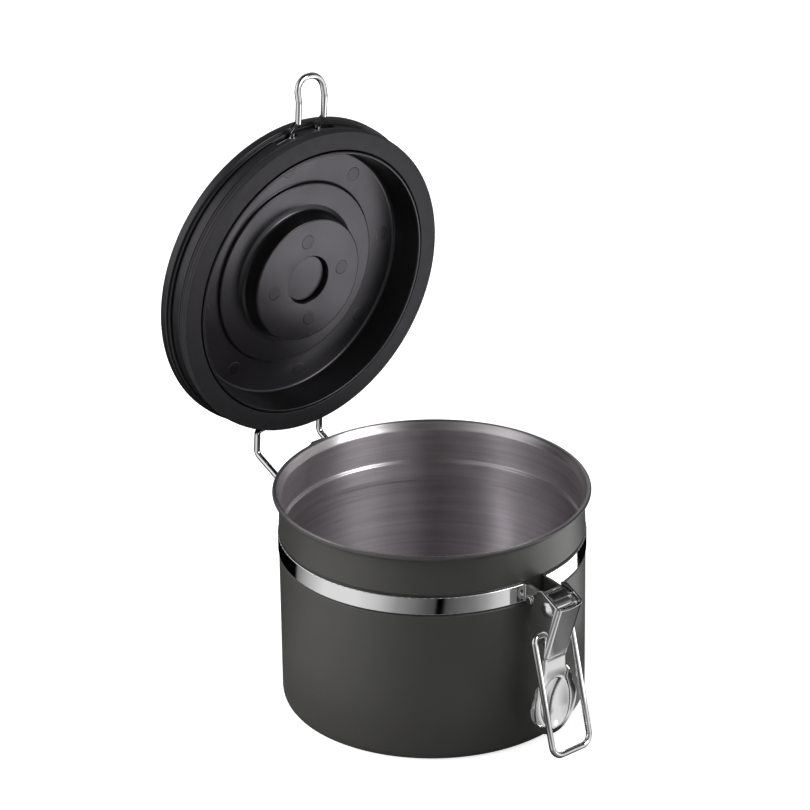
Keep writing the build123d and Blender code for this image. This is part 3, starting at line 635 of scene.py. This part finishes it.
class CANISTER_OT_lid(bpy.types.Operator):
    """Make the lid's cover, liner and gasket"""

    bl_idname = "canister.lid"
    bl_label = "Lid"

    def execute(self, context):
        s = context.scene.lid_sizes
        pose = lid_pose(s)
        cover = lathe("lid_cover_shell", closed(self.cover_outline(s)))
        dress(context, cover, "lid_cover", ("black_plastic",), "lid", pose)
        liner = self.make_liner(s)
        finishes = ("black_plastic", "pin_plastic")
        dress(context, liner, "lid_liner", finishes, "lid", pose)
        gasket = lathe("lid_gasket_ring", closed(self.gasket_outline(s)))
        dress(context, gasket, "lid_gasket", ("black_silicone",), "lid", pose)
        return {"FINISHED"}

    def make_liner(self, s):
        """The dished liner with its notched lip and its moulding marks."""
        build = bmesh.new()
        add_turned(build, closed(self.liner_outline(s)))
        self.add_lip(build, s)
        self.add_marks(build, s, s.mark_ring, 4, s.mark_ring_turn, s.boss_depth)
        self.add_marks(build, s, s.mark_circle, 8, s.mark_circle_turn, s.floor_depth)
        return finish_mesh("lid_liner_dish", build)

    def add_lip(self, build, s):
        """The flange's raised lip, with gaps where the wire passes at the front and the back."""
        inside, foot = s.flange - s.flange_lip, -s.flange_depth - LIP_ROOT
        lip = closed(rounded([
            (inside, foot, 0), (inside, -s.flange_lip_depth, 0.15 * MM),
            (s.flange, -s.flange_lip_depth, 0.25 * MM), (s.flange, foot, 0),
        ]))
        front, back, front_tab, back_tab = (
            math.asin(width / s.flange)
            for width in (s.front_notch, s.back_notch, s.front_tab, s.back_tab)
        )
        quarter = math.pi / 2
        for start, end, segments in (
            (-quarter + front, quarter - back, 112),
            (quarter + back, 3 * quarter - front, 112),
            (-quarter - front_tab, -quarter + front_tab, 8),
            (quarter - back_tab, quarter + back_tab, 20),
        ):
            add_turned(build, lip, segments, arc=(start, end))

    def add_marks(self, build, s, circle, count, start, depth):
        """A circle of round moulding marks on a face that lies at a depth."""
        step = s.mark_step
        edge = [(s.mark - inward * step, rise * step - depth) for inward, rise in MARK_EDGE]
        edge.append((0, edge[-1][1]))
        for number in range(count):
            turn = Matrix.Rotation(FULL_TURN * number / count - start, 4, "Z")
            place = turn @ Matrix.Translation((circle, 0, 0))
            add_turned(build, edge, MARK_STEPS, split=len(MARK_EDGE) - 1, move=place)

    def cover_outline(self, s):
        """The cover's section, rounded."""
        inside = s.neck - s.neck_wall
        seat, under = s.cover_top - s.cap_depth, s.cover_top - s.cover_plate
        panel, skirt = s.cover_top - s.panel_sink, s.cover - s.skirt_inset
        fine, soft, lower, brow, shoulder = (r * MM for r in (0.3, 0.6, 0.7, 1.5, 3.0))
        return rounded([
            (s.vent, seat, 0), (s.cap, seat, fine), (s.cap, panel, fine), (s.panel, panel, soft),
            (s.panel + s.panel_sink, s.cover_top, soft), (s.neck, s.cover_top, shoulder),
            (s.cover - s.cover_edge_round, s.cover_edge_top, brow),
            (s.cover, s.cover_edge_top - s.cover_edge_round, s.cover_edge_round),
            (s.cover, -s.cover_edge_depth, lower), (skirt, -s.cover_edge_depth, 0.25 * MM),
            (skirt, -s.skirt_depth, fine), (s.neck, -s.skirt_depth, fine),
            (s.neck, -s.flange_depth, fine), (inside, -s.flange_depth, fine),
            (inside, under, fine), (s.vent, under, 0),
        ])

    def liner_outline(self, s):
        """The liner's section, rounded."""
        fine, rim, soft, foot, cove = (r * MM for r in (0.35, 0.6, 0.8, 1.6, 2.0))
        base = s.flange_depth + s.flange_thickness
        back, boss_back = s.floor_depth - s.liner_wall, s.boss_depth - s.liner_wall
        snap = s.neck - s.neck_wall - s.snap_play
        snap_inner, boss_inner = snap - s.liner_wall, s.boss - s.liner_wall
        lean = (s.mouth - s.floor) / (s.rim_depth - s.floor_depth)
        tube = s.valve_hole + s.tube_wall
        dish = s.floor + s.liner_wall
        out, up = COVE_MIDDLE
        points = [
            (s.valve_hole, -s.tube_top, 0), (s.valve_hole, s.boss_depth, fine),
            (s.boss, s.boss_depth, soft),
            (s.boss + s.boss_draft, s.wide_boss_depth + s.boss_cove_height, 0),
            (s.boss + out * s.boss_cove, s.wide_boss_depth + up * s.boss_cove_height, cove),
            (s.boss + s.boss_cove, s.wide_boss_depth, cove), (s.wide_boss, s.wide_boss_depth, soft),
            (s.wide_boss + fine, s.floor_depth, soft), (s.floor, s.floor_depth, foot),
            (s.mouth, s.rim_depth, rim), (s.rim, s.rim_depth, rim), (s.rim, base, fine),
            (s.flange, base, fine), (s.flange, s.flange_depth, fine), (snap, s.flange_depth, fine),
            (snap, -s.snap_top, fine), (snap_inner, -s.snap_top, fine),
            (snap_inner, s.flange_depth, fine),
            (dish + lean * (s.flange_depth - back), s.flange_depth, fine),
            (dish, back, soft), (boss_inner, back, soft), (boss_inner, boss_back, soft),
            (tube, boss_back, fine), (tube, -s.tube_top, 0),
        ]
        return rounded([(r, -depth, corner) for r, depth, corner in points])

    def gasket_outline(self, s):
        """The gasket's section, with its ribs."""
        face, top = -s.gasket_face, -(s.flange_depth + s.flange_thickness)
        wide = s.gasket + s.gasket_flare
        slope = s.gasket_flare / (top - face)
        root, crest, inner, outer = (r * MM for r in (0.2, 0.35, 0.5, 0.7))
        points = [(s.gasket_in, top, 0), (s.gasket_in, face, inner), (wide, face, outer)]
        for number in range(2):
            rise = s.first_rib + s.rib_pitch * number
            side = wide - rise * slope
            points += [
                (side + s.gasket_rib * slope, face + rise - s.gasket_rib, root),
                (side + s.gasket_rib, face + rise, crest),
                (side - s.gasket_rib * slope, face + rise + s.gasket_rib, root),
            ]
        return rounded([*points, (s.gasket, top, 0)])


def eased(t):
    """A share that starts and ends gently."""
    return t * t * (3 - 2 * t)


def along(places, at, ease=None):
    """The value at a place, from a table of (place, value) pairs."""
    if at <= places[0][0]:
        return places[0][1]
    for (low, first), (high, second) in zip(places, places[1:]):
        if at <= high:
            t = (at - low) / (high - low)
            return first + (second - first) * (ease(t) if ease else t)
    return places[-1][1]


def between(places, at):
    """The same, with each step eased."""
    return along(places, at, eased)


def in_metres(pairs):
    """A table given in millimetres."""
    return [(first * MM, second * MM) for first, second in pairs]


# The lever's side wall in millimetres, as (out from the pivot, down the channel): its upper and
# its lower edge, from the back towards the front wall
LEVER_BACK, FRONT_TOP, FRONT_FOOT = -8.0, -4.2, 4.7
LEVER_TOP = ((LEVER_BACK, -2.0), (-7.4, -4.2), (-5.6, -5.6))
LEVER_FOOT = (
    (LEVER_BACK, 7.6), (-7.7, 9.6), (-6.6, 12.2), (-4.8, 14.9), (-2.6, 16.6), (0, 17.2),
    (1.6, 16.9), (3.0, 16.7), (3.9, 17.4), (4.3, 18.8),
)
# Half the neck's width at heights above the pad's middle, in millimetres
NECK_WIDTHS = ((7.0, 10.3), (11.5, 8.2), (15.0, 6.5))
# The grid: columns on the front, in a fold and on a side; how many run on into the pad; rows
FLAT_STEPS, FOLD_STEPS, SIDE_STEPS, SHARED_STEPS = 8, 10, 22, 15
SHEET_ROWS, PAD_ROWS, PAD_CROWDING = 34, 72, 1.6
HEAD_STEPS = 12
# Heights on the pad and the neck, in millimetres: the neck's step in, below the channel; where the
# channel's folds have died out, above the pad's middle and below the channel; where the rim's
# roll dies out and where its top ends, above the pad's middle
NECK_STEP, FOLD_FADE, ROLL_FADE, RIM_TOP = (3.2, 1.1), (9.0, 2.0), (8.0, 13.0), 6.0
RIM_POWER, SIDE_POWER = 10, 6  # how sharply the pad's rim and the neck's sides roll back
BROKEN_EDGE = 60.0  # the least angle of an edge that is broken, in degrees


class CANISTER_OT_lever(bpy.types.Operator):
    """Press the latch lever from one sheet: a channel, a neck and a dished thumb pad"""

    bl_idname = "canister.lever"
    bl_label = "Latch lever"

    def execute(self, context):
        s = context.scene.lever_sizes
        build = bmesh.new()
        for side in (-1, 1):
            self.press_sheet(build, s, side)
        made = finish_mesh("latch_lever_sheet", build, SHEET_EDGE)
        thick = made.modifiers.new("sheet", "SOLIDIFY")
        thick.thickness = s.sheet
        thick.offset = -1.0
        thick.use_even_offset = True
        edge = made.modifiers.new("edge", "BEVEL")
        edge.width = s.sheet_edge
        edge.segments = 2
        edge.limit_method = "ANGLE"
        edge.angle_limit = math.radians(BROKEN_EDGE)
        dress(context, made, "latch_lever", ("polished_steel",), "lever")
        rivet = self.make_rivet(s)
        dress(context, rivet, "lever_rivet", ("polished_steel",), "lever")
        return {"FINISHED"}

    def make_rivet(self, s):
        """The rivet through the side walls, with a domed head at each side."""
        build = bmesh.new()
        rise = s.rivet_rise - s.rivet_rim
        bulge = (s.rivet_head**2 + rise**2) / (2 * rise)
        half = [(s.rivet, 0.0), (s.rivet, s.half_width), (s.rivet_head, s.half_width)]
        for n in range(HEAD_STEPS + 1):
            r = s.rivet_head * (1 - n / HEAD_STEPS)
            half.append((r, s.half_width + s.rivet_rise - bulge + math.sqrt(bulge**2 - r**2)))
        outline = [(r, -z) for r, z in reversed(half)] + half[1:]
        turn = Matrix.Rotation(math.pi / 2, 4, "Y")
        place = Matrix.Translation((0, s.pivot_y, s.pivot_z)) @ turn
        add_turned(build, outline, RIVET_STEPS, move=place)
        return finish_mesh("lever_rivet_domed", build, RIVET_EDGE)

    def place(self, s, x, down, out):
        """A point on the channel, from its pivot: across, down the channel and out from the can."""
        lean = s.tilt
        return Vector((
            x,
            s.pivot_y + down * math.sin(lean) - out * math.cos(lean),
            s.pivot_z - down * math.cos(lean) - out * math.sin(lean),
        ))

    def columns(self, s):
        """The sheet's columns from its middle round to the back: (across, out from the pivot)."""
        flat, low = s.half_width - s.fold, s.front - s.fold
        back = LEVER_BACK * MM
        columns = [(flat * n / FLAT_STEPS, s.front) for n in range(FLAT_STEPS)]
        for n in range(FOLD_STEPS + 1):
            bend = math.pi / 2 * n / FOLD_STEPS
            columns.append((flat + s.fold * math.sin(bend), low + s.fold * math.cos(bend)))
        return columns + [
            (s.half_width, low + (back - low) * n / SIDE_STEPS) for n in range(1, SIDE_STEPS + 1)
        ]

    def press_sheet(self, build, s, side):
        """One half of the sheet, as a grid between its upper and its lower edge."""
        columns = self.columns(s)
        top = [*in_metres(LEVER_TOP), (s.front, FRONT_TOP * MM)]
        foot = [*in_metres(LEVER_FOOT), (FRONT_FOOT * MM, s.length), (s.front, s.length)]
        grid = []
        for x, out in columns:
            dip = s.top_dip * (1 - (x / s.half_width) ** 2) if out > s.front - s.fold else 0
            high, end = along(top, out) + dip, along(foot, out)
            grid.append([
                build.verts.new(
                    self.place(s, side * x, high + (end - high) * row / SHEET_ROWS, out)
                )
                for row in range(SHEET_ROWS + 1)
            ])
        for near, far in zip(grid, grid[1:]):
            for row in range(SHEET_ROWS):
                build.faces.new((near[row], far[row], far[row + 1], near[row + 1]))
        shared = SHARED_STEPS + 1
        self.press_pad(build, s, side, [column[-1] for column in grid[:shared]], columns[:shared])

    def press_pad(self, build, s, side, edge, columns):
        """The neck and the dished pad, hanging from the channel's lower edge."""
        neck = columns[-1][0]
        across = [(x / neck, s.front - out) for x, out in columns]
        start = edge[0].co.z
        bottom = s.pad_z - s.pad_half_height
        widths = [(s.pad_z, s.pad_half_width)]
        widths += [(s.pad_z + rise, half) for rise, half in in_metres(NECK_WIDTHS)]
        widths += [(start, neck)]
        previous = edge
        for row in range(1, PAD_ROWS + 1):
            z = start + (bottom - start) * (1 - (1 - row / PAD_ROWS) ** PAD_CROWDING)
            if z < s.pad_z:
                low = (s.pad_z - z) / s.pad_half_height
                half = s.pad_half_width * math.sqrt(max(0.0, 1 - low**2))
            else:
                half = between(widths, z)
            if row == PAD_ROWS:
                tip = self.pad_point(s, 0, bottom, 1.0, 0, start)
                current = [build.verts.new(tip)] * len(across)
            else:
                current = [
                    build.verts.new(self.pad_point(s, side * half * share, z, share, drop, start))
                    for share, drop in across
                ]
            for n in range(len(across) - 1):
                corners = (previous[n], previous[n + 1], current[n + 1], current[n])
                build.faces.new(distinct(corners))
            previous = current

    def pad_point(self, s, x, z, share, drop, start):
        """A point on the pad's front, with its dish, its rolled rim and the step of the neck."""
        above = z - s.pad_z
        lean = s.pad_lean * above / (2 * s.pad_half_height)
        step = s.neck_y + s.neck_step
        low, high = (start - below * MM for below in NECK_STEP)
        rim = lean + between([
            (s.pad_z + s.pad_half_height, s.pad_y), (low, step), (high, step), (start, s.neck_y),
        ], z)
        gone, whole = FOLD_FADE
        fold = drop * between([(s.pad_z + gone * MM, 0.0), (start - whole * MM, 1.0)], z)
        dish = (x / s.dish_half_width) ** 2 + (above / s.dish_half_height) ** 2
        sunk = s.dish_depth * max(0.0, 1 - dish)
        around = math.hypot(x / s.pad_half_width, above / s.pad_half_height)
        whole, gone = ROLL_FADE
        fade = between([(whole * MM, 1.0), (gone * MM, 0.0)], above)
        rounding = min(1.0, around) ** RIM_POWER if above < RIM_TOP * MM else 0.0
        roll = s.rim_roll * fade * max(share**SIDE_POWER, rounding)
        return Vector((x, rim + sunk + roll + fold, z))


class CANISTER_OT_latch(bpy.types.Operator):
    """Finish the band, the latch's other pieces and the hinge"""

    bl_idname = "canister.latch"
    bl_label = "Latch and band"

    def execute(self, context):
        for name in (
            "clamp_band", "band_screw", "band_nut", "ear_bush", "hinge_bracket",
            "latch_bail", "lid_wire",
        ):
            paint_node(context, name, "polished_steel")
        return {"FINISHED"}


class CANISTER_OT_valve(bpy.types.Operator):
    """Finish the valve's pieces"""

    bl_idname = "canister.valve"
    bl_label = "Valve"

    def execute(self, context):
        for name in ("valve_plug", "valve_housing", "valve_cap"):
            paint_node(context, name, "black_plastic")
        for name in ("valve_ring", "valve_disc"):
            paint_node(context, name, "black_silicone")
        paint_node(context, "valve_filter", "pale_felt")
        return {"FINISHED"}


# Painted reflections: greys by direction from the canister, as (degrees, grey), that glow on flags
# which only reflections see: on the floor, nearer to the canister and at its foot, where they paint
# the canister's shadow; on the tent, and round the tent's lower rim
FLOOR_GREYS = (
    (-180, 0.8), (-165, 0.6), (-153, 0.3), (-135, 0.1), (-129, 0.07), (-128, 0.0), (-124, 0.0),
    (-123, 0.07), (-105, 0.2), (-97, 0.35), (-90, 0.6), (-80, 0.8), (-35, 0.8), (-33, 0.0),
    (125, 0.0), (127, 0.2), (140, 0.5), (155, 0.8), (180, 0.8),
)
NEAR_SHADOW_GREYS = (
    (-180, 0.6), (-160, 0.4), (-140, 0.15), (-130, 0.15), (-118, 0.6), (-112, 0.6), (-105, 0.2),
    (-95, 0.2), (-87, 0.45), (-80, 0.8), (-74, 0.8), (-71, 0.4), (-69, 0.12), (-67, 0.2),
    (-62, 0.12), (-55, 0.03), (120, 0.03), (140, 0.4), (160, 0.6), (180, 0.6),
)
FOOT_SHADOW_GREYS = (
    (-180, 0.10), (-100, 0.03), (-80, 0.03), (-72, 0.70), (-45, 0.80), (-30, 0.10), (180, 0.10),
)
TENT_GREYS = (
    (-180, 0.75), (-168, 0.50), (-150, 0.16), (-128, 0.07), (-112, 0.07), (-98, 0.5), (-88, 1.0),
    (-66, 1.0), (-55, 0.2), (-36, 0.1), (0, 0.1), (30, 0.20), (75, 0.25), (105, 0.45), (135, 1.0),
    (165, 1.0), (180, 0.75),
)
RIM_GREYS = (
    (-180, 0.75), (-150, 0.30), (-125, 0.20), (-105, 0.30), (-90, 0.80), (-30, 0.90), (-10, 0.30),
    (60, 0.10), (110, 0.30), (140, 0.90), (180, 0.75),
)
# How far out the near and the foot greys of painted shadow reach, and how high the rim's; each then
# blends over
NEAR_SHADOW_REACH, FOOT_SHADOW_REACH, RIM_REACH, BLEND = 0.132, 0.089, 0.70, 1.08
FLAG_RADIUS, FLAG_LIFT = 2.3, 0.0002
TENT_RADIUS, TENT_FOOT = 2.4, -0.01
# The flags' glow fades with height, which paints the reflections dark overhead
TENT_FADE = ((1.5, 1.0), (2.2, 0.1))
FLOOR_HALF, FLOOR_GLOW = 3.0, 0.76
WORLD_FILL = 0.37
# Each lamp's place, size and power, and whether gloss and plain surfaces see it
LAMPS = {
    "left_box": ((-1.25, 0.70, 1.00), 1.5, 29.0, False, True),
    "right_box": ((1.25, -0.80, 0.95), 0.8, 3.6, False, True),
    "low_box": ((0.23, -0.17, 0.004), 0.26, 0.46, True, True),
    "inside_front": ((0.46, -1.18, 0.95), 0.7, 10.5, True, False),
    "inside_left": ((-1.25, 0.70, 1.00), 1.1, 10.0, True, False),
}
LAMP_AIM = (0, 0.03, 0.13)
SENSOR_WIDTH = 36  # in millimetres


class CANISTER_OT_stage(bpy.types.Operator):
    """Set the floor, the lights, the world and the camera"""

    bl_idname = "canister.stage"
    bl_label = "Stage"

    def execute(self, context):
        context.scene.view_settings.view_transform = "Standard"
        self.make_floor(context)
        self.make_world(context)
        self.make_flags()
        self.make_lights(context)
        self.make_camera(context)
        return {"FINISHED"}

    def make_floor(self, context):
        """A pale floor that shows white to the camera but keeps the shadow."""
        mesh = bpy.data.meshes.new("studio_floor")
        low, high = -FLOOR_HALF, FLOOR_HALF
        corners = [(low, low, 0), (high, low, 0), (high, high, 0), (low, high, 0)]
        mesh.from_pydata(corners, [], [(0, 1, 2, 3)])
        floor = bpy.data.objects.new("studio_floor", mesh)
        context.scene.collection.objects.link(floor)
        material, tree, shader = new_material("pale_floor")
        shader.inputs["Base Color"].default_value = (*context.scene.finish_colours.floor, 1)
        shader.inputs["Roughness"].default_value = 0.9
        shader.inputs["Specular IOR Level"].default_value = 0.0
        shader.inputs["Emission Color"].default_value = (1, 1, 1, 1)
        glow = ((0.0, 0.0), (1.0, FLOOR_GLOW))
        vary(tree, shader, "Emission Strength", self.seen_rays(tree), glow)
        mesh.materials.append(material)

    def seen_rays(self, tree):
        """One for camera, glossy and transmission rays, and nothing for the rest."""
        paths = tree.nodes.new("ShaderNodeLightPath")
        value = paths.outputs["Is Camera Ray"]
        for name in ("Is Glossy Ray", "Is Transmission Ray"):
            most = node(tree, "Math", operation="MAXIMUM")
            link(tree, value, most.inputs[0])
            link(tree, paths.outputs[name], most.inputs[1])
            value = most.outputs[0]
        return value

    def make_world(self, context):
        """White to the camera and in reflections, softer as a light."""
        world = bpy.data.worlds.new("studio_world")
        context.scene.world = world
        tree = cleared(world)
        output = tree.nodes.new("ShaderNodeOutputWorld")
        background = tree.nodes.new("ShaderNodeBackground")
        background.inputs["Color"].default_value = (1, 1, 1, 1)
        strength = ramp(tree, self.seen_rays(tree), ((0.0, WORLD_FILL), (1.0, 1.0)))
        link(tree, strength, background.inputs["Strength"])
        link(tree, background.outputs[0], output.inputs["Surface"])

    def make_flags(self):
        """Glowing grey flags that only reflections see, as painted reflections: one on the floor,
        with a painted shadow of the canister near its foot, and a tent over the set.
        """
        build = bmesh.new()
        bmesh.ops.create_circle(
            build, cap_ends=True, segments=96, radius=FLAG_RADIUS,
            matrix=Matrix.Translation((0, 0, FLAG_LIFT)),
        )
        # Near the canister and at its foot, the floor flag's greys paint the canister's shadow in
        # reflections
        near = ((NEAR_SHADOW_REACH, NEAR_SHADOW_GREYS), (FOOT_SHADOW_REACH, FOOT_SHADOW_GREYS))
        self.flag("floor_reflection_flag", build, FLOOR_GREYS, "flat", near)
        build = bmesh.new()
        bmesh.ops.create_uvsphere(build, u_segments=64, v_segments=32, radius=TENT_RADIUS)
        bmesh.ops.bisect_plane(
            build, geom=[*build.verts, *build.edges, *build.faces],
            plane_co=(0, 0, TENT_FOOT), plane_no=(0, 0, 1), clear_inner=True,
        )
        self.flag("tent_reflection_flag", build, TENT_GREYS, "Z", ((RIM_REACH, RIM_GREYS),))

    def flag(self, name, build, stops, measure, rings):
        """One flag that glows grey by its direction from the canister as a painted reflection, with
        its own greys near or low; the near ones are a painted shadow of the canister.
        """
        made = placed_mesh(name, build)
        made.visible_camera = made.visible_diffuse = made.visible_shadow = False
        made.visible_volume_scatter = False
        material = bpy.data.materials.new(name)
        tree = cleared(material)
        output = tree.nodes.new("ShaderNodeOutputMaterial")
        # The flag glows though it is no lamp: its greys are painted reflections
        glow = tree.nodes.new("ShaderNodeEmission")
        place = object_place(tree)
        split = node(tree, "SeparateXYZ")
        link(tree, place, split.inputs[0])
        turn = ramp(tree, turn_about_axis(tree, split), ((-math.pi, 0.0), (math.pi, 1.0)))
        tone = self.greys(tree, turn, stops)
        flat = node(tree, "VectorMath", operation="LENGTH")
        link(tree, place, flat.inputs[0])
        reach = split.outputs["Z"] if measure == "Z" else flat.outputs["Value"]
        for radius, ring_stops in rings:
            blend = tree.nodes.new("ShaderNodeMixRGB")
            share = ramp(tree, reach, ((radius, 0.0), (radius * BLEND, 1.0)))
            link(tree, share, blend.inputs[0])
            link(tree, self.greys(tree, turn, ring_stops), blend.inputs[1])
            link(tree, tone, blend.inputs[2])
            tone = blend.outputs[0]
        link(tree, ramp(tree, split.outputs["Z"], TENT_FADE), glow.inputs["Strength"])
        link(tree, tone, glow.inputs["Color"])
        link(tree, glow.outputs[0], output.inputs["Surface"])
        made.data.materials.append(material)

    def greys(self, tree, turn, stops):
        """A ramp of greys, placed by their direction in degrees."""
        made = tree.nodes.new("ShaderNodeValToRGB")
        elements = made.color_ramp.elements
        for degrees, grey in stops:
            place = (degrees + 180) / 360
            ends = {0.0: elements[0], 1.0: elements[-1]}
            element = ends.get(place) or elements.new(place)
            element.color = (grey, grey, grey, 1)
        link(tree, turn, made.inputs[0])
        return made.outputs["Color"]

    def make_lights(self, context):
        """Soft boxes at the left and the right, a low one at the latch, and two for the inside."""
        for name, (place, size, power, glossy, diffuse) in LAMPS.items():
            aim = Vector((place[0], place[1], 1)) if name == "low_box" else Vector(LAMP_AIM)
            data = bpy.data.lights.new(name, "AREA")
            data.shape = "SQUARE"
            data.size = size
            data.energy = power
            lamp = bpy.data.objects.new(name, data)
            lamp.location = place
            lamp.visible_camera = False
            lamp.visible_glossy = glossy
            lamp.visible_diffuse = diffuse
            lamp.rotation_euler = (aim - Vector(place)).to_track_quat("-Z", "Y").to_euler()
            context.scene.collection.objects.link(lamp)

    def make_camera(self, context):
        """The camera at the photographed angle."""
        settings = context.scene.stage_settings
        data = bpy.data.cameras.new("camera")
        data.lens = settings.focal / MM
        data.sensor_width = SENSOR_WIDTH
        camera = bpy.data.objects.new("camera", data)
        context.scene.collection.objects.link(camera)
        place = Vector(settings.place)
        turn = (Vector(settings.aim) - place).to_track_quat("-Z", "Y").to_matrix().to_4x4()
        roll = Matrix.Rotation(settings.roll, 4, "Z")
        camera.matrix_world = Matrix.Translation(place) @ turn @ roll
        context.scene.camera = camera


class CANISTER_PT_panel(bpy.types.Panel):
    """Lists the canister's operators"""

    bl_idname = "CANISTER_PT_panel"
    bl_label = "Coffee canister"
    bl_space_type = "VIEW_3D"
    bl_region_type = "UI"
    bl_category = "Canister"

    def draw(self, context):
        for operator in OPERATORS:
            self.layout.operator(operator.bl_idname)


GROUPS = {
    "canister_sizes": CanisterSizes,
    "lid_sizes": LidSizes,
    "lever_sizes": LeverSizes,
    "finish_colours": FinishColours,
    "stage_settings": StageSettings,
}
OPERATORS = (
    CANISTER_OT_body, CANISTER_OT_lid, CANISTER_OT_lever, CANISTER_OT_latch, CANISTER_OT_valve,
    CANISTER_OT_stage,
)


def register():
    """Register the groups, the operators and the panel."""
    for name, group in GROUPS.items():
        bpy.utils.register_class(group)
        setattr(bpy.types.Scene, name, bpy.props.PointerProperty(type=group))
    for operator in (*OPERATORS, CANISTER_PT_panel):
        bpy.utils.register_class(operator)


def unregister():
    """Undo register."""
    for operator in reversed((*OPERATORS, CANISTER_PT_panel)):
        bpy.utils.unregister_class(operator)
    for name, group in GROUPS.items():
        delattr(bpy.types.Scene, name)
        bpy.utils.unregister_class(group)


def main():
    """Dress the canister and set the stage."""
    register()
    bpy.ops.canister.body()
    bpy.ops.canister.lid()
    bpy.ops.canister.lever()
    bpy.ops.canister.latch()
    bpy.ops.canister.valve()
    bpy.ops.canister.stage()


if __name__ == "__main__":
    main()
